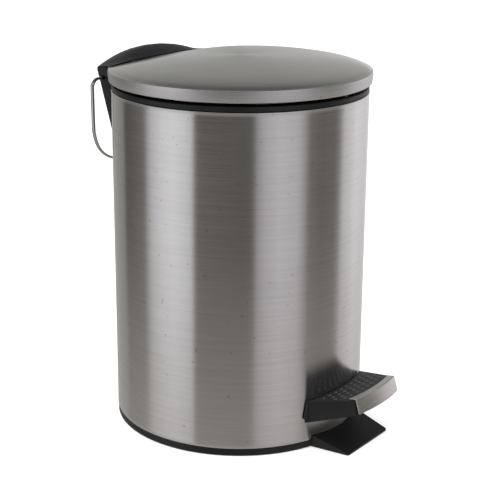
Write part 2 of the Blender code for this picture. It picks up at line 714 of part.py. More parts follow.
def hood_end(side):
    """Wall that closes one end of the hood, outside the lid's rim."""
    plan = []
    for x, radii in zip(HOOD_END_X, (HOOD_END_RADII, reversed(HOOD_END_RADII))):
        plan += [(side * x, math.sqrt(r * r - x * x)) for r in radii]
    low = [(x, y, HOOD_LIP_LOW - MM) for x, y in plan]
    high = [(x, y, hood_top(x, y) - HOOD_SHELL / 3) for x, y in plan]
    return lofted("end", [low, high])


def lid_hood():
    turns = [math.radians(-90 + 180 * i / 16) for i in range(17)]
    hood = lofted("lid_hood", [hood_column(t) for t in turns])
    join(hood, hood_end(-1), hood_end(1))
    for x, y in lid_screw_places():
        low = dome(x, y) + 1.2 * MM
        edge = circle((x, y), HOOD_BOSS_RADIUS, 16)
        high = min(hood_top(*place) for place in edge) - 0.7 * MM
        join(hood, rod("boss", "Z", (x, y), HOOD_BOSS_RADIUS, low, high, 16))
        cut(hood, rod("hole", "Z", (x, y), 1.7 * MM, HOOD_LIP_LOW, low + 1.6 * MM, 16))
    join(hood, hinge_arm())
    cut(hood, rod("bore", "X", (HINGE_Y, HINGE_Z), HINGE_PIN_RADIUS + GAP, -20 * MM, 20 * MM))
    return hood


def lug_pin_place():
    angle = LID_TRAVEL / 2
    return (HINGE_Y - LUG_LENGTH * math.cos(angle), HINGE_Z - LUG_LENGTH * math.sin(angle))


def lid_bumper(name, angle):
    middle = LINER_RADIUS - LINER_SHEET / 2
    x, y = middle * math.cos(math.radians(angle)), middle * math.sin(math.radians(angle))
    return rod(name, "Z", (x, y), 2.6 * MM, COLLAR_TOP + GAP, LINER_LOW - GAP, 20)


# ---------------------------------------------------------------- pedal and lever

def pedal_top(y):
    return PEDAL_TOP_AT_BODY + PEDAL_TOP_SLOPE * (-y - PEDAL_FIT_RADIUS)


def pedal_low(y):
    return PEDAL_LOW_AT_BODY + PEDAL_LOW_SLOPE * (-y - PEDAL_FIT_RADIUS + 8 * MM)


def pedal_front(x, reach):
    """Bowed front edge of the pedal: y at a given x."""
    return -(reach + PEDAL_BOW * (1 - (x / PEDAL_TIP_HALF) ** 2))


def pedal_outline(inset, lean):
    """Plan of the pedal, with its walls inset and its front edge leaned out."""
    steps = 10
    outline = []
    half = PEDAL_ROOT_HALF - inset
    fit = PEDAL_FIT_RADIUS if inset == 0 else PEDAL_FIT_RADIUS - 9 * MM
    for i in range(steps + 1):
        x = half * (-1 + 2 * i / steps)
        outline.append((x, -math.sqrt(fit ** 2 - x * x)))
    tip = PEDAL_TIP_HALF - inset + 0.2 * lean
    for i in range(steps + 1):
        x = tip * (1 - 2 * i / steps)
        outline.append((x, pedal_front(x, PEDAL_TOP_REACH + lean - inset)))
    return outline


def pedal_pad():
    low = [(x, y, pedal_low(y)) for x, y in pedal_outline(0, PEDAL_FRONT_LEAN)]
    high = [(x, y, pedal_top(y)) for x, y in pedal_outline(0, 0)]
    pad = lofted("pedal_pad", [low, high])
    below = [(x, y, pedal_low(y) - 8 * MM) for x, y in pedal_outline(PEDAL_WALL, PEDAL_FRONT_LEAN)]
    roof = [(x, y, pedal_top(y) - PEDAL_WALL) for x, y in pedal_outline(PEDAL_WALL, 0)]
    cut(pad, lofted("hollow", [below, roof]))
    join(pad, pedal_flange())
    for x in (-PEDAL_SCREW_X, PEDAL_SCREW_X):
        high = pedal_top(PEDAL_SCREW_Y) - 0.9 * MM
        cut(pad, rod("hole", "Z", (x, PEDAL_SCREW_Y), 1.6 * MM, 30 * MM, high, 12))
    return pad


def pedal_flange():
    """Lip of the pedal that follows the body, wider than the pedal itself."""
    steps = 12
    rings = []
    for half, z in zip(FLANGE_HALVES, FLANGE_HEIGHTS):
        across = [half * (-1 + 2 * i / steps) for i in range(steps + 1)]
        inner = [(x, -math.sqrt((PEDAL_FIT_RADIUS + 0.1 * MM) ** 2 - x * x), z) for x in across]
        outer = [(x, y - FLANGE_SHEET, z) for x, y, z in reversed(inner)]
        rings.append(inner + outer)
    flange = lofted("flange", rings)
    cut(flange, block("lever gap", (-LEVER_SLOT_HALF, -120 * MM, 0), (LEVER_SLOT_HALF, -90 * MM, 60 * MM)))
    return flange


def pedal_trim():
    """Bent steel strip over the pedal's front edge."""
    steps = 10
    rings = []
    for i in range(steps + 1):
        x = TRIM_HALF * (-1 + 2 * i / steps)
        front = pedal_front(x, PEDAL_TOP_REACH) - GAP
        back = front + TRIM_FLANGE
        lean = PEDAL_FRONT_LEAN * TRIM_DROP / (11 * MM)
        under, over = GAP, GAP + TRIM_SHEET
        low = pedal_top(front) + over - TRIM_DROP
        section = [(back, pedal_top(back) + under), (back, pedal_top(back) + over),
                   (front - TRIM_SHEET * 0.6, pedal_top(front) + over),
                   (front - TRIM_SHEET, pedal_top(front) + over - 0.5 * MM),
                   (front - TRIM_SHEET - lean, low), (front - lean, low),
                   (front, pedal_top(front) + under)]
        rings.append([(x, y, z) for y, z in section])
    return lofted("pedal_trim", rings)


def strip(name, line, thickness, half):
    """Flat strip of metal bent along a (y, z) centre line and wide along X."""
    places = [Vector(p) for p in line]
    over, under = [], []
    for i, place in enumerate(places):
        before = (place - places[i - 1]).normalized() if i else None
        after = (places[i + 1] - place).normalized() if i < len(places) - 1 else None
        along = ((before or after) + (after or before)).normalized()
        normal = Vector((-along.y, along.x))
        stretch = thickness / 2 / normal.dot(Vector((-(after or before).y, (after or before).x)))
        over.append(tuple(place + normal * stretch))
        under.append(tuple(place - normal * stretch))
    return prism(name, over + list(reversed(under)), "X", -half, half)


def pedal_lever():
    tab_drop = PEDAL_WALL + GAP + LEVER_SHEET / 2 + 0.1 * MM
    tab = [(y, pedal_top(y) - tab_drop) for y in LEVER_TAB]
    lever = strip("pedal_lever", tab + [LEVER_BEND, LEVER_REAR], LEVER_SHEET, LEVER_HALF)
    join(lever, rod("sleeve", "X", (PIVOT_Y, PIVOT_Z), SLEEVE_RADIUS, -LEVER_HALF, LEVER_HALF, 24))
    cut(lever, rod("bore", "X", (PIVOT_Y, PIVOT_Z), PIVOT_PIN_RADIUS + GAP, -20 * MM, 20 * MM))
    for x in (-PEDAL_SCREW_X, PEDAL_SCREW_X):
        cut(lever, rod("hole", "Z", (x, PEDAL_SCREW_Y), 1.6 * MM, 30 * MM, 60 * MM, 12))
    return lever


def rod_foot():
    low = 10.2 * MM
    profile = [(0, low)]
    profile += [(FOOT_RADIUS * math.sin(a), low + FOOT_RADIUS * (1 - math.cos(a)))
                for a in (math.radians(18 * i) for i in range(1, 6))]
    profile += [(FOOT_RADIUS, low + 13 * MM), (ROD_RADIUS + GAP, low + 13 * MM),
                (ROD_RADIUS + GAP, ROD_LOW - GAP), (0, ROD_LOW - GAP)]
    foot = turned("rod_foot", profile, 24)
    foot.data.transform(Matrix.Translation((0, ROD_Y, 0)))
    return foot


def rod_head():
    """Socket on the rod's top and the plate whose slot takes the lug's cross pin."""
    lug_y, lug_z = lug_pin_place()
    near, far = HINGE_Y - LUG_LENGTH, lug_y
    half_slot = LUG_PIN_RADIUS + 0.7 * MM
    slot = [(near - 2.0 * MM, lug_z - half_slot), (far + 2.0 * MM, lug_z - half_slot),
            (far + 2.0 * MM, lug_z + half_slot), (near - 2.0 * MM, lug_z + half_slot)]
    plate = [(near - 3.8 * MM, lug_z - 12.0 * MM), (far + 3.8 * MM, lug_z - 12.0 * MM),
             (far + 3.8 * MM, lug_z + 4.6 * MM), (near - 3.8 * MM, lug_z + 4.6 * MM)]
    head = prism("rod_head", rounded(plate, 2 * MM), "X", -1.6 * MM, 1.6 * MM)
    low = lug_z - 22 * MM
    join(head, rod("socket", "Z", (0, ROD_Y), 4.2 * MM, low, lug_z - 6 * MM, 24))
    cut(head, prism("slot", rounded(slot, 1.4 * MM), "X", -5 * MM, 5 * MM))
    cut(head, rod("bore", "Z", (0, ROD_Y), ROD_RADIUS + GAP, low - MM, lug_z - 8.0 * MM, 24))
    return head


# ---------------------------------------------------------------- assembly

def build_root(steel, plastic, rubber, zinc):
    finish(body_shell(), steel)
    finish(base_tray(), plastic)
    finish(top_collar(), plastic)
    finish(hinge_bracket(), plastic)
    finish(backing_plate(), zinc)
    finish(lever_bracket(), zinc)
    finish(inner_bucket(), plastic)
    finish(rod("lever_pin", "X", (PIVOT_Y, PIVOT_Z), PIVOT_PIN_RADIUS, -13 * MM, 13 * MM), zinc)
    finish(rod("hinge_pin", "X", (HINGE_Y, HINGE_Z), HINGE_PIN_RADIUS,
               -HINGE_PIN_HALF, HINGE_PIN_HALF), zinc)
    for i, (x, y) in enumerate(pad_places()):
        finish(rod("anti_slip_pad_%d" % (i + 1), "Z", (x, y), PAD_RADIUS, 0, PAD_HEIGHT, 32), rubber)
    for label, y in zip(("front", "rear"), rivet_places()):
        foot = (0, y, FLOOR_TOP + 2 * MM + 2 * GAP)
        finish(screw("lever_bracket_rivet_" + label, foot, (0, 0, -1), 1.5 * MM, 4.4 * MM,
                     3.2 * MM, 1.6 * MM), zinc)
    for label, z in GUIDE_HEIGHTS.items():
        finish(rod_guide(label, z), plastic)
        foot = (0, BODY_RADIUS + GAP, z)
        finish(screw("guide_rivet_" + label, foot, (0, -1, 0), 1.6 * MM, 5.2 * MM,
                     3.4 * MM, 1.3 * MM), zinc)
    for side, x in (("left", -BRACKET_SCREW_X), ("right", BRACKET_SCREW_X)):
        for level, z in zip(("low", "high"), BRACKET_SCREW_HEIGHTS):
            foot = (x, math.sqrt(PLATE_RADII[0] ** 2 - (abs(x) + 3.2 * MM) ** 2) - GAP, z)
            finish(screw("bracket_screw_%s_%s" % (level, side), foot, (0, 1, 0), 1.5 * MM, 5.9 * MM,
                         3.2 * MM, 1.8 * MM), zinc)


def build_lid(steel, plastic, rubber, zinc):
    axis = pivot("lid_hinge_axis", (0, HINGE_Y, HINGE_Z))
    finish(lid_cap(), steel, axis)
    finish(lid_liner(), plastic, axis)
    finish(lid_hood(), plastic, axis)
    finish(rod("lug_pin", "X", lug_pin_place(), LUG_PIN_RADIUS, -7 * MM, 7 * MM), zinc, axis)
    for label, (x, y) in zip(("left", "right", "middle"), lid_screw_places()):
        foot = (x, y, dome(x, y) - LINER_DROP - LINER_SHEET - 2 * GAP)
        finish(screw("lid_screw_" + label, foot, (0, 0, 1), 1.4 * MM, 6.2 * MM, 3 * MM, 1.6 * MM),
               zinc, axis)
    for label, angle in (("front", -90), ("left", 150), ("right", 30)):
        finish(lid_bumper("lid_bumper_" + label, angle), rubber, axis)


def build_pedal(steel, plastic, zinc):
    axis = pivot("pedal_pivot_axis", (0, PIVOT_Y, PIVOT_Z))
    finish(pedal_lever(), zinc, axis)
    finish(pedal_pad(), plastic, axis)
    finish(pedal_trim(), steel, axis)
    height = pedal_top(PEDAL_SCREW_Y) - PEDAL_WALL - LEVER_SHEET - 3 * GAP - 0.7 * MM
    for label, x in (("left", -PEDAL_SCREW_X), ("right", PEDAL_SCREW_X)):
        foot = (x, PEDAL_SCREW_Y, height)
        finish(screw("pedal_screw_" + label, foot, (0, 0, 1), 1.3 * MM, 4.5 * MM, 2.6 * MM, 1.5 * MM),
               zinc, axis)


def build_rod(plastic, zinc):
    axis = pivot("push_rod_axis", (0, ROD_Y, ROD_LOW))
    top = lug_pin_place()[1] - 8.4 * MM
    finish(rod("push_rod", "Z", (0, ROD_Y), ROD_RADIUS, ROD_LOW, top), zinc, axis)
    finish(rod_head(), plastic, axis)
    finish(rod_foot(), plastic, axis)


def build_wires(chrome):
    finish(carry_handle(), chrome, pivot("carry_handle_axis", (0, HANDLE_Y, HANDLE_Z)))
    finish(bucket_bail(), chrome, pivot("bucket_bail_axis", (0, 0, bail_height())))


def main():
    clear_scene()
    steel = make_material("brushed_steel", (0.55, 0.54, 0.52), 0.32, 1.0)
    plastic = make_material("black_plastic", (0.02, 0.02, 0.022), 0.45, 0.0)
    rubber = make_material("grey_rubber", (0.08, 0.08, 0.08), 0.8, 0.0)
    zinc = make_material("zinc_plated_steel", (0.5, 0.5, 0.5), 0.4, 1.0)
    chrome = make_material("chrome_wire", (0.7, 0.7, 0.7), 0.12, 1.0)
    build_root(steel, plastic, rubber, zinc)
    build_lid(steel, plastic, rubber, zinc)
    build_pedal(steel, plastic, zinc)
    build_rod(plastic, zinc)
    build_wires(chrome)


main()
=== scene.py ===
"""Looks of the five litre pedal bin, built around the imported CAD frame.

Object frame: origin on the body's axis at floor level, +Z up, pedal towards -Y, hinge at +Y.
"""

import json
import math

import bmesh
import bpy
from mathutils import Matrix, Vector


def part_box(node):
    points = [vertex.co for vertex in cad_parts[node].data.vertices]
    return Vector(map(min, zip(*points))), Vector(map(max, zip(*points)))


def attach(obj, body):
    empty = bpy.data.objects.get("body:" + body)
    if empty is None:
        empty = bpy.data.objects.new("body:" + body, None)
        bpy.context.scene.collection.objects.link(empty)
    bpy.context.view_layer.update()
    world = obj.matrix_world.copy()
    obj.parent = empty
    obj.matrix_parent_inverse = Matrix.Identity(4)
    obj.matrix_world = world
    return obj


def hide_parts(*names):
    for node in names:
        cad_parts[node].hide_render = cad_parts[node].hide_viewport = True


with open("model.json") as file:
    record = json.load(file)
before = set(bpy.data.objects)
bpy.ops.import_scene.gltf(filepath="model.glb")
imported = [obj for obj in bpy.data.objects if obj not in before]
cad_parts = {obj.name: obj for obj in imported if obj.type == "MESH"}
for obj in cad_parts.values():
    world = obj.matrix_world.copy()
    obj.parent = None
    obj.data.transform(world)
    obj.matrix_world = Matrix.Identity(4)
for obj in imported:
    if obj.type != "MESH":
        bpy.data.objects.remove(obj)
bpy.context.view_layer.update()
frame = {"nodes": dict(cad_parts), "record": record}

MM = 0.001
TAU = 2 * math.pi

# Camera, in metres and radians: straight ahead of the object, then turned about its axis
VIEW_AZIMUTH = math.radians(-53.3)
VIEW_DISTANCE = 1.0095
VIEW_HEIGHT = 0.4545
VIEW_TILT = 0.3041
VIEW_PAN = 0.0086
VIEW_ROLL = 0.0087
SENSOR = 36.0
LENS = 92.06

SMOOTH_ANGLE = math.radians(35.0)

# Body and lid, sized from the frame's own boxes
SHEET = 0.8 * MM
BEAD = 0.2 * MM
WALL_STEPS = 288
body_low, body_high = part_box("body_shell")
cap_low, cap_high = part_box("lid_cap")
collar_low, collar_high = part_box("top_collar")
BODY_RADIUS = body_high.x - BEAD
LID_RADIUS = cap_high.x
CREASE_RADIUS = LID_RADIUS - 1.4 * MM
CREASE_HEIGHT = cap_low.z + 8.2 * MM
DOME_RISE = 11.1 * MM
DOME_CHORD = 85.5 * MM
DOME_RUN = 15.2 * MM
DOME_BLEND = 6.0 * MM
CREASE_LIFT = 1.05 * MM                # height of the crease's start above CREASE_HEIGHT in front
DOME_RINGS = 34
RIM_BAND = 0.9 * MM                    # depth of the rim's own finish, inwards from the edge
LID_SCREW_HOLE = 1.9 * MM

# Openings in the steel wall
WALL_HOLE = 2.0 * MM
WALL_HOLE_Y = 100.0 * MM
CUTTER_DEPTH = 40.0 * MM
PEDAL_SLOT = ((-11 * MM, -110 * MM, 19.5 * MM), (11 * MM, -90 * MM, 41.2 * MM))
HINGE_SLOT = ((-8.5 * MM, 90 * MM, 258 * MM), (8.5 * MM, 110 * MM, 280 * MM))
SEAM_DEPTH = 0.12 * MM
SEAM_HALF = 1.6 * MM

# Collar ring
COLLAR_LEDGE_DROP = 5.0 * MM
COLLAR_LEDGE_SHEET = 2.2 * MM
COLLAR_LIP_INNER = 97.5 * MM
COLLAR_LEDGE_INNER = 87.0 * MM
COLLAR_SKIRT_INNER = 99.3 * MM
COLLAR_NOTCH = ((-8.5 * MM, 60 * MM, 250 * MM), (8.5 * MM, 110 * MM, 290 * MM))

# Carry handle
HANDLE_WIRE = 2.2 * MM
HANDLE_START = 36.0 * MM               # half the gap between the handle's two ends
HANDLE_TURN = 7.0 * MM
HANDLE_BOW_DEPTH = 42.0 * MM
HANDLE_BOW_STEPS = 15
HANDLE_BOW_POWER = 0.68
TUBE_SIDES = 24

# Studs on the pedal
STUD_RADIUS = 1.5 * MM
STUD_FLATNESS = 0.4
STUD_ROWS = 4
STUD_COLUMNS = 9
STUD_PITCH = 7.4 * MM
STUD_ROW_STEP = 5.7 * MM
STUD_FIRST_REACH = 107.6 * MM
STUD_MARGIN = 2.0 * MM
PAD_SLOPE = 0.205
PAD_START = 103.1 * MM                 # where the pad's sloping face starts, ahead of the body's axis
PAD_START_HEIGHT = 42.6 * MM
PAD_START_HALF = 36.0 * MM
PAD_TAPER = 0.27                       # loss of half width for each metre further out


# ---------------------------------------------------------------- mesh helpers

def add_object(name, bm):
    """New smooth-shaded object made from bm, which is freed."""
    bmesh.ops.recalc_face_normals(bm, faces=bm.faces)
    mesh = bpy.data.meshes.new(name)
    bm.to_mesh(mesh)
    bm.free()
    mesh.shade_smooth()
    mesh.set_sharp_from_angle(angle=SMOOTH_ANGLE)
    thing = bpy.data.objects.new(name, mesh)
    bpy.context.scene.collection.objects.link(thing)
    return thing


def grid_faces(bm, rings):
    """Quads between successive rings of vertices; rings of one shared vertex become fans."""
    for ring, after in zip(rings, rings[1:]):
        count = len(ring)
        for i in range(count):
            j = (i + 1) % count
            corners = list(dict.fromkeys((ring[i], ring[j], after[j], after[i])))
            if len(corners) > 2:
                bm.faces.new(corners)


def lathe(name, profile, shape=None):
    """Closed profile of (radius, height) turned about +Z; shape(x, y, z) may move each point."""
    bm = bmesh.new()
    rings = []
    for radius, height in profile:
        ring = []
        for i in range(WALL_STEPS):
            turn = TAU * i / WALL_STEPS
            place = (radius * math.cos(turn), radius * math.sin(turn), height)
            ring.append(bm.verts.new(shape(*place) if shape else place))
            if radius == 0:
                ring = ring * WALL_STEPS
                break
        rings.append(ring)
    grid_faces(bm, rings + rings[:1])
    return add_object(name, bm)


def bend(centre, radius, first, last, steps):
    """Points of an arc in a profile, angles in degrees from the +radius direction."""
    points = []
    for i in range(steps + 1):
        turn = math.radians(first + (last - first) * i / steps)
        points.append((centre[0] + radius * math.cos(turn), centre[1] + radius * math.sin(turn)))
    return points


def box_middle(node):
    low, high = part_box(node)
    return (low + high) / 2


def box_cutter(low, high):
    bm = bmesh.new()
    bmesh.ops.create_cube(bm, size=1.0)
    middle = (Vector(low) + Vector(high)) / 2
    size = Vector(high) - Vector(low)
    bmesh.ops.transform(bm, matrix=Matrix.Translation(middle) @ Matrix.Diagonal((*size, 1)), verts=bm.verts)
    return add_object("cutter", bm)


def bore_cutter(centre, radius, upright=False):
    """Round cutter through centre, along Y or upright."""
    bm = bmesh.new()
    bmesh.ops.create_cone(bm, cap_ends=True, segments=24, radius1=radius, radius2=radius, depth=CUTTER_DEPTH)
    turn = Matrix.Rotation(0 if upright else math.pi / 2, 4, "X")
    bmesh.ops.transform(bm, matrix=Matrix.Translation(centre) @ turn, verts=bm.verts)
    return add_object("cutter", bm)


def cut(thing, *tools):
    """Subtract each tool from thing, then remove the tool."""
    for tool in tools:
        modifier = thing.modifiers.new("cut", "BOOLEAN")
        modifier.object = tool
        modifier.operation = "DIFFERENCE"
        modifier.solver = "EXACT"
        graph = bpy.context.evaluated_depsgraph_get()
        mesh = bpy.data.meshes.new_from_object(thing.evaluated_get(graph))
        thing.modifiers.remove(modifier)
        thing.data = mesh
        bpy.data.objects.remove(tool, do_unlink=True)
    thing.data.shade_smooth()
    thing.data.set_sharp_from_angle(angle=SMOOTH_ANGLE)


def soften(node, width):
    """Round the edges of a carried-over CAD node."""
    thing = frame["nodes"][node]
    weld = thing.modifiers.new("weld", "WELD")
    weld.merge_threshold = 1e-6
    bevel = thing.modifiers.new("bevel", "BEVEL")
    bevel.width = width
    bevel.segments = 3
    bevel.limit_method = "ANGLE"
    bevel.angle_limit = math.radians(38)
    bevel.use_clamp_overlap = True
    bevel.harden_normals = False
    normals = thing.modifiers.new("normals", "WEIGHTED_NORMAL")
    normals.weight = 80


# ---------------------------------------------------------------- node helpers

def ramp(node, stops):
    elements = node.color_ramp.elements
    while len(elements) < len(stops):
        elements.new(0.5)
    for element, (position, _) in zip(elements, stops):
        element.position = position
    for element, (_, color) in zip(elements, stops):
        element.color = (*color, 1)
    return node.outputs["Color"]


def map_range(node, low, high, out_low, out_high):
    for name, number in (("From Min", low), ("From Max", high), ("To Min", out_low), ("To Max", out_high)):
        node.inputs[name].default_value = number
    return node.outputs["Result"]


def mixed(tree, factor, first, second):
    node = tree.nodes.new("ShaderNodeMix")
    node.data_type = "RGBA"
    for socket, value in ((node.inputs[0], factor), (node.inputs[6], first), (node.inputs[7], second)):
        if isinstance(value, bpy.types.NodeSocket):
            tree.links.new(value, socket)
        else:
            socket.default_value = value
    return node.outputs[2]


# ---------------------------------------------------------------- materials

class Graph:
    """Small helper that adds nodes to a material and links them."""

    def __init__(self, name):
        self.material = bpy.data.materials.new(name)
        self.material.use_nodes = True
        self.tree = self.material.node_tree
        self.shader = self.tree.nodes["Principled BSDF"]

    def add(self, kind, **settings):
        node = self.tree.nodes.new(kind)
        for key, value in settings.items():
            setattr(node, key, value)
        return node

    def link(self, source, target):
        self.tree.links.new(source, target)

    def fill(self, socket, value):
        """Link a socket, or set it when value is a constant."""
        if isinstance(value, bpy.types.NodeSocket):
            self.link(value, socket)
        else:
            socket.default_value = value

    def math(self, operation, first, second=0.0):
        node = self.add("ShaderNodeMath", operation=operation)
        self.fill(node.inputs[0], first)
        self.fill(node.inputs[1], second)
        return node.outputs[0]

    def place(self):
        return self.add("ShaderNodeTexCoord").outputs["Object"]

    def split(self, vector):
        node = self.add("ShaderNodeSeparateXYZ")
        self.link(vector, node.inputs[0])
        return node.outputs

    def vector(self, x, y, z):
        node = self.add("ShaderNodeCombineXYZ")
        for socket, value in zip(node.inputs, (x, y, z)):
            self.fill(socket, value)
        return node.outputs[0]

    def noise(self, vector, scale, detail=3.0, roughness=0.55):
        node = self.add("ShaderNodeTexNoise")
        self.link(vector, node.inputs["Vector"])
        node.inputs["Scale"].default_value = scale
        node.inputs["Detail"].default_value = detail
        node.inputs["Roughness"].default_value = roughness
        return node.outputs["Fac"]

    def spread(self, value, low, high, out_low, out_high):
        node = self.add("ShaderNodeMapRange")
        self.link(value, node.inputs["Value"])
        return map_range(node, low, high, out_low, out_high)

    def blend(self, factor, first, second):
        node = self.add("ShaderNodeMix", data_type="RGBA")
        self.fill(node.inputs["Factor"], factor)
        self.fill(node.inputs[6], first)
        self.fill(node.inputs[7], second)
        return node.outputs[2]

    def stretched(self, vector, scales):
        """The vector with each of its axes scaled on its own."""
        parts = zip(self.split(vector), scales)
        return self.vector(*[self.math("MULTIPLY", part, scale) for part, scale in parts])

    def bump(self, height, distance, strength=1.0, before=None):
        node = self.add("ShaderNodeBump")
        self.link(height, node.inputs["Height"])
        node.inputs["Distance"].default_value = distance
        node.inputs["Strength"].default_value = strength
        if before is not None:
            self.link(before, node.inputs["Normal"])
        return node.outputs["Normal"]

    def set(self, name, value):
        self.fill(self.shader.inputs[name], value)


def brushed_steel(name, grain, tint, roughness, anisotropy=0.75):
    """Satin stainless steel. grain is "around" the axis on a wall, "rings" on a lid, "along" X on a strip."""
    g = Graph(name)
    place = g.place()
    x, y, z = g.split(place)
    angle = g.math("ARCTAN2", x, y)
    radius = g.math("SQRT", g.math("ADD", g.math("MULTIPLY", x, x), g.math("MULTIPLY", y, y)))
    along = {"around": angle, "rings": angle, "along": x}[grain]
    across = {"around": z, "rings": radius, "along": g.math("ADD", y, z)}[grain]
    stretch = 0.9 if grain != "along" else 9.0
    fine_place = g.vector(g.math("MULTIPLY", along, stretch * 2), g.math("MULTIPLY", across, 1500.0), 0.0)
    fine = g.noise(fine_place, 1.0, 4.0, 0.7)
    coarse_place = g.vector(g.math("MULTIPLY", along, stretch), g.math("MULTIPLY", across, 330.0), 0.0)
    coarse = g.noise(coarse_place, 1.0, 3.0)
    cloud = g.noise(place, 22.0, 4.0)
    smudge = g.noise(place, 7.0, 2.0)
    shade = g.math("ADD", g.spread(fine, 0.3, 0.7, -0.055, 0.055), g.spread(coarse, 0.3, 0.7, -0.03, 0.03))
    shade = g.math("ADD", shade, g.spread(cloud, 0.3, 0.7, -0.02, 0.02))
    speck = g.noise(place, 260.0, 1.0)
    speck = g.spread(speck, 0.735, 0.765, 0.0, -0.22)
    shade = g.math("ADD", shade, speck)
    dark = (tint[0] * 0.5, tint[1] * 0.49, tint[2] * 0.48, 1)
    light = (min(tint[0] * 1.5, 1), min(tint[1] * 1.5, 1), min(tint[2] * 1.5, 1), 1)
    g.set("Base Color", g.blend(g.math("ADD", shade, 0.5), dark, light))
    g.set("Metallic", 1.0)
    worn = g.math("ADD", g.spread(fine, 0.3, 0.7, -0.03, 0.03), g.spread(smudge, 0.35, 0.7, -0.01, 0.035))
    g.set("Roughness", g.math("ADD", worn, roughness))
    g.set("Anisotropic", anisotropy)
    g.set("Anisotropic Rotation", 0.25 if grain != "along" else 0.0)
    tangent = g.add("ShaderNodeTangent", direction_type="RADIAL", axis="Z")
    g.link(tangent.outputs[0], g.shader.inputs["Tangent"])
    normal = g.bump(coarse, 0.00001, 0.5)
    g.set("Normal", g.bump(fine, 0.000012, 0.7, normal))
    return g.material


def moulded_plastic(name, color, roughness, texture=0.5, wear=0.5):
    """Moulded black plastic with a fine spark-eroded texture, scuffs and dust."""
    g = Graph(name)
    place = g.place()
    grain = g.noise(place, 2600.0, 2.0, 0.6)
    pits = g.add("ShaderNodeTexVoronoi", feature="F1")
    g.link(place, pits.inputs["Vector"])
    pits.inputs["Scale"].default_value = 1500.0
    flow = g.noise(place, 30.0, 4.0)
    scuff = g.noise(g.stretched(place, (60.0, 420.0, 420.0)), 1.0, 5.0, 0.7)
    scuff = g.spread(scuff, 0.62, 0.75, 0.0, wear)
    pale = tuple(min(c * 3.0 + 0.01, 1) for c in color)
    marks = g.math("ADD", g.math("MULTIPLY", scuff, 0.35), g.spread(flow, 0.3, 0.7, 0.0, 0.16))
    g.set("Base Color", g.blend(marks, (*color, 1), (*pale, 1)))
    rough = g.math("ADD", g.spread(grain, 0.3, 0.7, -0.05, 0.05), g.spread(flow, 0.3, 0.7, -0.05, 0.07))
    g.set("Roughness", g.math("ADD", rough, roughness))
    g.set("Specular IOR Level", 0.3)
    normal = g.bump(pits.outputs["Distance"], 0.00005, texture)
    g.set("Normal", g.bump(grain, 0.00004, texture, normal))
    return g.material


def rubber():
    """Matt grey rubber with a film of dust."""
    g = Graph("grey_rubber")
    place = g.place()
    dust = g.noise(place, 180.0, 4.0)
    film = g.spread(dust, 0.35, 0.75, 0.0, 1.0)
    g.set("Base Color", g.blend(film, (0.045, 0.045, 0.046, 1), (0.1, 0.098, 0.094, 1)))
    g.set("Roughness", g.spread(dust, 0.3, 0.7, 0.72, 0.9))
    g.set("Specular IOR Level", 0.3)
    g.set("Normal", g.bump(g.noise(place, 1800.0), 0.00006, 0.6))
    return g.material


def zinc():
    """Zinc plated steel with faint spangles."""
    g = Graph("zinc_plate")
    place = g.place()
    spangle = g.add("ShaderNodeTexVoronoi", feature="F1")
    g.link(place, spangle.inputs["Vector"])
    spangle.inputs["Scale"].default_value = 420.0
    tone = g.split(spangle.outputs["Color"])[0]
    scratch = g.noise(g.stretched(place, (40.0, 900.0, 900.0)), 1.0, 3.0)
    mix = g.math("ADD", g.math("MULTIPLY", tone, 0.6), g.math("MULTIPLY", scratch, 0.4))
    g.set("Base Color", g.blend(mix, (0.32, 0.33, 0.34, 1), (0.6, 0.61, 0.62, 1)))
    g.set("Metallic", 1.0)
    g.set("Roughness", g.spread(mix, 0.2, 0.8, 0.46, 0.3))
    g.set("Normal", g.bump(scratch, 0.00003, 0.5))
    return g.material


def chrome():
    """Bright plated wire with a slight haze and hairlines."""
    g = Graph("chrome_plate")
    place = g.place()
    haze = g.noise(place, 90.0, 5.0, 0.65)
    hair = g.noise(g.stretched(place, (900.0, 900.0, 60.0)), 1.0, 3.0)
    g.set("Base Color", g.blend(haze, (0.36, 0.355, 0.345, 1), (0.58, 0.57, 0.56, 1)))
    g.set("Metallic", 1.0)
    dull = g.math("ADD", g.spread(haze, 0.35, 0.7, 0.07, 0.2), g.spread(hair, 0.3, 0.7, 0.0, 0.06))
    g.set("Roughness", dull)
    g.set("Normal", g.bump(hair, 0.00001, 0.5))
    return g.material


WALL_STEEL = brushed_steel("wall_steel", "around", (0.60, 0.595, 0.59), 0.17, 0.9)
LID_STEEL = brushed_steel("lid_steel", "rings", (0.60, 0.595, 0.58), 0.20)
RIM_STEEL = brushed_steel("rim_steel", "around", (0.60, 0.595, 0.60), 0.44, 0.3)
TRIM_STEEL = brushed_steel("trim_steel", "along", (0.62, 0.60, 0.57), 0.28)
BLACK = moulded_plastic("black_plastic", (0.0045, 0.0044, 0.0052), 0.40)
# Paler copy of the black plastic for the pedal's studs: painted highlight, standing in for the light their
# domed tops catch
STUD_HIGHLIGHT_PLASTIC = moulded_plastic("stud_plastic_painted_highlight", (0.05, 0.05, 0.056), 0.30, 0.2, 0.2)
INNER = moulded_plastic("inner_plastic", (0.009, 0.009, 0.010), 0.5, 0.35, 0.3)
RUBBER = rubber()
ZINC = zinc()
CHROME = chrome()


def dress(thing, material):
    """Give thing one material in place of any it had."""
    thing.data.materials.clear()
    thing.data.materials.append(material)
    return thing


def stand_for(thing, node, body, material):
    """A new piece takes the place of a CAD node."""
    dress(thing, material)
    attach(thing, body)
    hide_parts(node)
    return thing


# ---------------------------------------------------------------- new pieces

def dome_share(y):
    """How much of the dome's rise is left at y: all of it in front, fading to flat behind the chord."""
    ahead = DOME_CHORD - y
    ahead = (ahead + math.hypot(ahead, DOME_BLEND)) / 2
    return 1 - math.exp(-ahead / DOME_RUN)


def dome(x, y):
    """Height of the lid's outer skin."""
    share = max(1 - (x * x + y * y) / CREASE_RADIUS ** 2, 0)
    return CREASE_HEIGHT + DOME_RISE * math.sqrt(share) * dome_share(y)


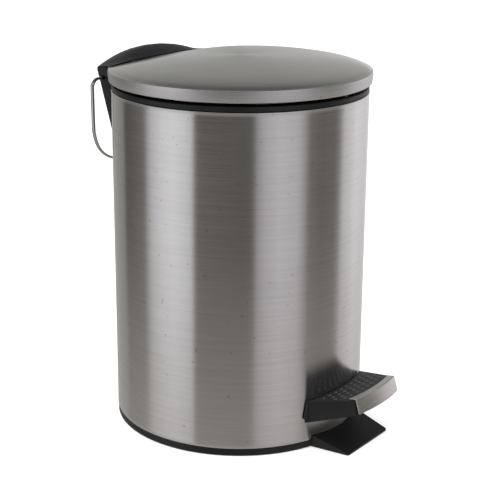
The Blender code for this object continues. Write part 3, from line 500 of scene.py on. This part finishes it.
def wall():
    """The steel cylinder, with rolled lower hem, top bead, slots and the seam at the back."""
    low, top = body_low.z, body_high.z
    inside = BODY_RADIUS - SHEET
    outer = bend((BODY_RADIUS - 0.5 * MM, low + 0.5 * MM), 0.5 * MM, -90, 0, 4)
    outer += [(BODY_RADIUS, low + 3 * MM), (BODY_RADIUS, low + 80 * MM), (BODY_RADIUS, low + 170 * MM),
              (BODY_RADIUS, top - 3.4 * MM), (BODY_RADIUS + 0.03 * MM, top - 2.9 * MM)]
    outer += bend((BODY_RADIUS - 0.6 * MM, top - 0.9 * MM), 0.8 * MM, -20, 100, 8)
    inner = [(inside, top - 0.4 * MM), (inside, low + 0.1 * MM)]

    def seam(x, y, z):
        """A shallow lapped seam down the middle of the back."""
        radius = math.hypot(x, y)
        if y < 0:
            return (x, y, z)
        dip = SEAM_DEPTH * max(1 - abs(x) / SEAM_HALF, 0)
        return (x * (1 - dip / radius), y * (1 - dip / radius), z)

    shell = lathe("steel_wall", outer + inner, seam)
    cut(shell, box_cutter(*PEDAL_SLOT), box_cutter(*HINGE_SLOT))
    fasteners = ["bracket_screw_low_left", "bracket_screw_low_right", "bracket_screw_high_left",
                 "bracket_screw_high_right", "guide_rivet_lower", "guide_rivet_upper"]
    for node in fasteners:
        middle = box_middle(node)
        cut(shell, bore_cutter((middle.x, WALL_HOLE_Y, middle.z), WALL_HOLE))
    return stand_for(shell, "body_shell", "bin", WALL_STEEL)


def lid_shell():
    """The pressed steel lid: crowned top, tight crease and a rim that turns in underneath."""
    edge = CREASE_RADIUS - 0.7 * MM
    radii = [edge * math.sin(math.pi / 2 * i / DOME_RINGS) for i in range(DOME_RINGS + 1)]
    top = [(r, 0.0) for r in radii]
    crease = bend((LID_RADIUS - 1.1 * MM, CREASE_HEIGHT + 0.25 * MM), 0.9 * MM, 60, 0, 7)
    side = [(LID_RADIUS - 0.1 * MM, CREASE_HEIGHT - 1.2 * MM), (LID_RADIUS, CREASE_HEIGHT - 2.4 * MM),
            (LID_RADIUS - 0.4 * MM, CREASE_HEIGHT - 5.0 * MM)]
    hem = bend((LID_RADIUS - 1.1 * MM, cap_low.z + 0.5 * MM), 0.5 * MM, 0, -180, 6)
    back = [(LID_RADIUS - 1.4 * MM, CREASE_HEIGHT - 3.4 * MM),
            (LID_RADIUS - 1.9 * MM, CREASE_HEIGHT - 0.6 * MM)]
    inner = [(r * 0.985, -SHEET) for r in reversed(radii[:-1])]
    profile = top + crease + side + hem + back + inner

    def to_dome(x, y, z):
        """Heights near zero are measured from the dome; the crease sinks where the dome is flat."""
        if z < cap_low.z / 2:
            return (x, y, z + dome(x, y))
        if z > CREASE_HEIGHT:
            return (x, y, z - CREASE_LIFT * (1 - dome_share(y)))
        return (x, y, z)

    shell = lathe("lid_shell", profile, to_dome)
    for side in ("left", "right", "middle"):
        cut(shell, bore_cutter(box_middle("lid_screw_" + side), LID_SCREW_HOLE, upright=True))
    stand_for(shell, "lid_cap", "lid", LID_STEEL)
    shell.data.materials.append(RIM_STEEL)
    for face in shell.data.polygons:
        middle = face.center
        outermost = math.hypot(middle.x, middle.y) > LID_RADIUS - RIM_BAND
        if outermost and middle.z < CREASE_HEIGHT + 0.2 * MM:
            face.material_index = 1
    return shell


def collar():
    """Black plastic ring with rounded lip, ledge for the bucket and skirt inside the wall."""
    top = collar_high.z
    outer = BODY_RADIUS - 0.2 * MM
    wall_top = body_high.z + 0.3 * MM
    skirt = BODY_RADIUS - 1.2 * MM
    ledge = top - COLLAR_LEDGE_DROP
    below = ledge - COLLAR_LEDGE_SHEET
    profile = [(skirt, collar_low.z), (skirt, wall_top)]
    profile += bend((outer - 0.4 * MM, wall_top + 0.4 * MM), 0.4 * MM, -90, 0, 3)
    profile += bend((outer - 1.0 * MM, top - 1.0 * MM), 1.0 * MM, 0, 90, 5)
    profile += bend((COLLAR_LIP_INNER + 0.6 * MM, top - 0.6 * MM), 0.6 * MM, 90, 180, 4)
    profile += bend((COLLAR_LIP_INNER + 0.6 * MM, ledge + 0.6 * MM), 0.6 * MM, 180, 270, 4)
    profile += bend((COLLAR_LEDGE_INNER + 0.6 * MM, ledge - 0.6 * MM), 0.6 * MM, 90, 180, 3)
    profile += [(COLLAR_LEDGE_INNER + 0.2 * MM, below), (COLLAR_SKIRT_INNER, below),
                (COLLAR_SKIRT_INNER, collar_low.z)]
    ring = lathe("collar_ring", profile)
    cut(ring, box_cutter(*COLLAR_NOTCH))
    return stand_for(ring, "top_collar", "bin", BLACK)


def tube(name, points, width, thickness, side):
    """Oval bar swept along points that lie in one plane; side is that plane's normal."""
    bm = bmesh.new()
    rings = []
    for i, place in enumerate(points):
        along = (points[min(i + 1, len(points) - 1)] - points[max(i - 1, 0)]).normalized()
        up = along.cross(side)
        ring = []
        for k in range(TUBE_SIDES):
            turn = TAU * k / TUBE_SIDES
            offset = side * (width / 2 * math.cos(turn)) + up * (thickness / 2 * math.sin(turn))
            ring.append(bm.verts.new(place + offset))
        rings.append(ring)
    grid_faces(bm, rings)
    for ring in (list(reversed(rings[0])), rings[-1]):
        bm.faces.new(ring)
    return add_object(name, bm)


def smooth_path(points, per_span):
    """Catmull-Rom curve through points, with per_span steps between neighbours."""
    out = []
    for i in range(len(points) - 1):
        a, b = points[max(i - 1, 0)], points[i]
        c, d = points[i + 1], points[min(i + 2, len(points) - 1)]
        for k in range(per_span):
            t = k / per_span
            out.append(0.5 * (2 * b + (c - a) * t + (2 * a - 5 * b + 4 * c - d) * t ** 2
                              + (3 * b - a - 3 * c + d) * t ** 3))
    return out + [points[-1]]


def handle():
    """The carry handle: two short straight ends, tight upper turns and one wide bow below."""
    low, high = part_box("carry_handle")
    y = (low.y + high.y) / 2
    half = high.x - HANDLE_WIRE / 2
    top = high.z - HANDLE_WIRE / 2
    bottom = low.z + HANDLE_WIRE / 2
    points = [Vector((HANDLE_START, y, top)), Vector((half - HANDLE_TURN - 3 * MM, y, top))]
    for px, pz in bend((half - HANDLE_TURN, top - HANDLE_TURN), HANDLE_TURN, 90, 0, 6):
        points.append(Vector((px, y, pz)))
    for i in range(1, HANDLE_BOW_STEPS + 1):
        turn = math.pi / 2 * i / HANDLE_BOW_STEPS
        across = half * max(math.cos(turn), 0) ** HANDLE_BOW_POWER
        drop = math.sin(turn) ** HANDLE_BOW_POWER
        points.append(Vector((across, y, bottom + HANDLE_BOW_DEPTH * (1 - drop))))
    points += [Vector((-p.x, p.y, p.z)) for p in reversed(points[:-1])]
    wire = tube("handle_wire", smooth_path(points, 4), high.y - low.y, HANDLE_WIRE, Vector((0, 1, 0)))
    return stand_for(wire, "carry_handle", "handle", CHROME)


def pedal_dots():
    """Staggered anti-slip studs in bowed rows on the pedal's sloping upper face."""
    bm = bmesh.new()
    tilt = Matrix.Rotation(-math.atan(PAD_SLOPE), 4, "X")
    for row in range(STUD_ROWS):
        reach = STUD_FIRST_REACH + STUD_ROW_STEP * row
        bow = 0.5 if row < 2 else 0.75
        count = STUD_COLUMNS - row % 2
        for k in range(count):
            x = (k - (count - 1) / 2) * STUD_PITCH
            ahead = reach - bow * (reach - math.sqrt(reach ** 2 - x * x)) - PAD_START
            if abs(x) > PAD_START_HALF - PAD_TAPER * ahead - STUD_MARGIN:
                continue
            z = PAD_START_HEIGHT + PAD_SLOPE * ahead
            stud = bmesh.ops.create_uvsphere(bm, u_segments=12, v_segments=8, radius=STUD_RADIUS)
            flat = Matrix.Diagonal((1, 1, STUD_FLATNESS, 1))
            place = Matrix.Translation((x, -PAD_START - ahead, z)) @ tilt @ flat
            bmesh.ops.transform(bm, matrix=place, verts=stud["verts"])
    dots = add_object("pedal_dots", bm)
    # The studs take the paler plastic, a painted highlight on what is the pad's own black plastic
    dress(dots, STUD_HIGHLIGHT_PLASTIC)
    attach(dots, "pedal")
    return dots


# ---------------------------------------------------------------- carried-over nodes

def dress_nodes():
    """Every CAD node keeps its mesh and gets rounded edges and a finished material."""
    finishes = {"brushed_steel": TRIM_STEEL, "black_plastic": BLACK, "inner_plastic": INNER,
                "rubber": RUBBER, "zinc_steel": ZINC, "chrome_wire": CHROME}
    widths = {"hinge_bracket": 0.8, "pedal_pad": 0.7, "base_tray": 0.5, "pedal_trim": 0.35, "lid_hood": 0.4,
              "inner_bucket": 0.35, "lid_liner": 0.3, "pedal_lever": 0.3, "lever_bracket": 0.3}
    slots = {part["node"]: part["material_slot"] for part in frame["record"]["subparts"]}
    for node, thing in frame["nodes"].items():
        dress(thing, finishes[slots[node]])
        soften(node, widths.get(node, 0.25) * MM)


# ---------------------------------------------------------------- camera, light, floor

def camera():
    """Long lens a little above the lid, looking down at the pedal's left side."""
    forward = Vector((math.sin(VIEW_PAN) * math.cos(VIEW_TILT), math.cos(VIEW_PAN) * math.cos(VIEW_TILT),
                      -math.sin(VIEW_TILT)))
    right = forward.cross(Vector((0, 0, 1))).normalized()
    up = right.cross(forward)
    c, s = math.cos(VIEW_ROLL), math.sin(VIEW_ROLL)
    across, rise = c * right + s * up, -s * right + c * up
    matrix = Matrix(((across.x, rise.x, -forward.x, 0), (across.y, rise.y, -forward.y, -VIEW_DISTANCE),
                     (across.z, rise.z, -forward.z, VIEW_HEIGHT), (0, 0, 0, 1)))
    data = bpy.data.cameras.new("camera")
    data.sensor_width = SENSOR
    data.lens = LENS
    data.clip_start = 0.01
    thing = bpy.data.objects.new("camera", data)
    bpy.context.scene.collection.objects.link(thing)
    thing.matrix_world = Matrix.Rotation(VIEW_AZIMUTH, 4, "Z") @ matrix
    bpy.context.scene.camera = thing


BANDS = (  # share of a turn from behind the object, anticlockwise from above, and the tone there
    (0.000, (0.60, 0.61, 0.60)), (0.050, (0.42, 0.42, 0.40)),
    (0.110, (0.34, 0.34, 0.32)), (0.145, (0.28, 0.28, 0.26)),
    (0.160, (0.090, 0.078, 0.068)), (0.183, (0.095, 0.083, 0.075)),
    (0.209, (0.115, 0.105, 0.10)), (0.238, (0.16, 0.15, 0.15)),
    (0.251, (0.46, 0.46, 0.47)), (0.263, (0.74, 0.74, 0.76)),
    (0.300, (1.06, 1.06, 1.10)), (0.330, (1.16, 1.16, 1.20)),
    (0.360, (1.02, 1.03, 1.07)), (0.380, (0.86, 0.86, 0.89)),
    (0.390, (0.14, 0.13, 0.12)), (0.398, (0.055, 0.047, 0.041)),
    (0.440, (0.026, 0.021, 0.017)), (0.500, (0.010, 0.008, 0.007)),
    (0.522, (0.016, 0.014, 0.013)), (0.533, (0.09, 0.086, 0.09)),
    (0.543, (0.42, 0.41, 0.44)), (0.562, (0.64, 0.62, 0.66)),
    (0.600, (0.80, 0.78, 0.82)), (0.645, (0.70, 0.68, 0.72)),
    (0.662, (0.45, 0.44, 0.45)), (0.678, (0.15, 0.14, 0.135)),
    (0.715, (0.10, 0.088, 0.078)), (0.758, (0.14, 0.125, 0.115)),
    (0.774, (0.28, 0.265, 0.25)), (0.792, (0.74, 0.73, 0.74)),
    (0.850, (1.02, 1.00, 1.03)), (0.920, (0.78, 0.77, 0.77)),
)
SKY = (  # height of the direction seen, and the tone there
    (0.0, (0.50, 0.50, 0.49)), (0.25, (0.42, 0.42, 0.41)),
    (0.42, (0.36, 0.36, 0.35)), (0.62, (0.27, 0.27, 0.26)),
    (0.82, (0.16, 0.155, 0.148)), (1.0, (0.11, 0.107, 0.10)),
)
SKY_RISE = (0.0, 0.16)                 # heights over which the bands give way to the sky
SKY_LEAN = -0.15                       # how much later that happens towards the camera's side
GROUND_FALL = (-0.52, -0.20)           # heights over which the bands give way to the ground
GROUND_SHARE = 0.92
GROUND_TONE = (0.50, 0.475, 0.45, 1)
STRIP_RISE = (0.30, 0.46)              # soft lower edge of the strip light, as a height
STRIP_FALL = (0.62, 0.85)              # its soft upper edge
STRIP_SIDE = (0.05, 0.35)              # its soft ends, as the share of the way towards the camera's side
STRIP_TONE = (0.62, 0.62, 0.64, 1)
ROOM_WHITE = (1.0, 1.0, 1.0, 1)


def studio_world():
    """White room for the eye; soft light panels and dark gaps for what shines."""
    world = bpy.data.worlds.new("studio")
    bpy.context.scene.world = world
    world.use_nodes = True
    tree = world.node_tree
    tree.nodes.clear()

    def add(kind, **settings):
        node = tree.nodes.new(kind)
        for key, value in settings.items():
            setattr(node, key, value)
        return node

    def linked(kind, *sources, **settings):
        node = add(kind, **settings)
        for i, source in enumerate(sources):
            if isinstance(source, bpy.types.NodeSocket):
                tree.links.new(source, node.inputs[i])
            elif source is not None:
                node.inputs[i].default_value = source
        return node

    def eased(value, span, first, last):
        """Smooth step from first to last as value crosses span."""
        node = linked("ShaderNodeMapRange", value, interpolation_type="SMOOTHSTEP")
        return map_range(node, *span, first, last)

    direction = add("ShaderNodeTexCoord").outputs["Generated"]
    towards = Vector((math.sin(VIEW_AZIMUTH), -math.cos(VIEW_AZIMUTH), 0))
    right = Vector((math.cos(VIEW_AZIMUTH), math.sin(VIEW_AZIMUTH), 0))
    ahead = linked("ShaderNodeVectorMath", direction, towards, operation="DOT_PRODUCT").outputs["Value"]
    beside = linked("ShaderNodeVectorMath", direction, right, operation="DOT_PRODUCT").outputs["Value"]
    angle = linked("ShaderNodeMath", beside, ahead, operation="ARCTAN2").outputs[0]
    share = linked("ShaderNodeMath", angle, 1 / TAU, 0.5, operation="MULTIPLY_ADD").outputs[0]
    bands = ramp(linked("ShaderNodeValToRGB", share), BANDS)
    height = linked("ShaderNodeSeparateXYZ", direction).outputs[2]
    sky = ramp(linked("ShaderNodeValToRGB", height), SKY)
    lean = linked("ShaderNodeMath", ahead, 0.0, operation="MAXIMUM").outputs[0]
    lifted = linked("ShaderNodeMath", lean, SKY_LEAN, height, operation="MULTIPLY_ADD").outputs[0]
    upper = mixed(tree, eased(lifted, SKY_RISE, 0.0, 1.0), bands, sky)
    strip = linked("ShaderNodeMath", eased(height, STRIP_RISE, 0.0, 1.0), eased(height, STRIP_FALL, 1.0, 0.0),
                   operation="MULTIPLY").outputs[0]
    strip = linked("ShaderNodeMath", strip, eased(ahead, STRIP_SIDE, 0.0, 1.0),
                   operation="MULTIPLY").outputs[0]
    upper = mixed(tree, strip, upper, STRIP_TONE)
    shine = mixed(tree, eased(height, GROUND_FALL, GROUND_SHARE, 0.0), upper, GROUND_TONE)
    is_glossy = add("ShaderNodeLightPath").outputs["Is Glossy Ray"]
    color = mixed(tree, is_glossy, ROOM_WHITE, shine)
    background = add("ShaderNodeBackground")
    tree.links.new(color, background.inputs["Color"])
    background.inputs["Strength"].default_value = 1.0
    tree.links.new(background.outputs[0], add("ShaderNodeOutputWorld").inputs["Surface"])


FLOOR_RADIUS = 6.0
LIGHT_AIM = Vector((0, 0, 0.12))
LIGHT_SIZE = 1.6


def floor():
    """Pale paper sweep that lifts its own tone a little, so that it stays white under the object."""
    bm = bmesh.new()
    bmesh.ops.create_circle(bm, cap_ends=True, segments=96, radius=FLOOR_RADIUS)
    plane = add_object("floor", bm)
    g = Graph("paper_sweep")
    tone = g.noise(g.place(), 3.0, 2.0)
    g.set("Base Color", g.blend(tone, (0.90, 0.90, 0.90, 1), (0.93, 0.93, 0.93, 1)))
    g.set("Roughness", 0.9)
    g.set("Specular IOR Level", 0.1)
    g.set("Emission Color", (1.0, 1.0, 1.0, 1))
    g.set("Emission Strength", 0.3)
    dress(plane, g.material)
    plane.visible_glossy = False


def soft_light(name, place, power):
    """Disk lamp aimed at the object, which leaves no reflection of its own."""
    data = bpy.data.lights.new(name, "AREA")
    data.shape = "DISK"
    data.size = LIGHT_SIZE
    data.energy = power
    thing = bpy.data.objects.new(name, data)
    bpy.context.scene.collection.objects.link(thing)
    thing.location = place
    thing.rotation_euler = (LIGHT_AIM - Vector(place)).to_track_quat("-Z", "Y").to_euler()
    thing.visible_glossy = False


wall()
lid_shell()
collar()
handle()
pedal_dots()
dress_nodes()
camera()
studio_world()
floor()
soft_light("key", (-1.4, -0.4, 2.2), 28.0)
soft_light("fill", (0.9, -1.9, 1.5), 14.0)
bpy.context.scene.view_settings.view_transform = "Standard"
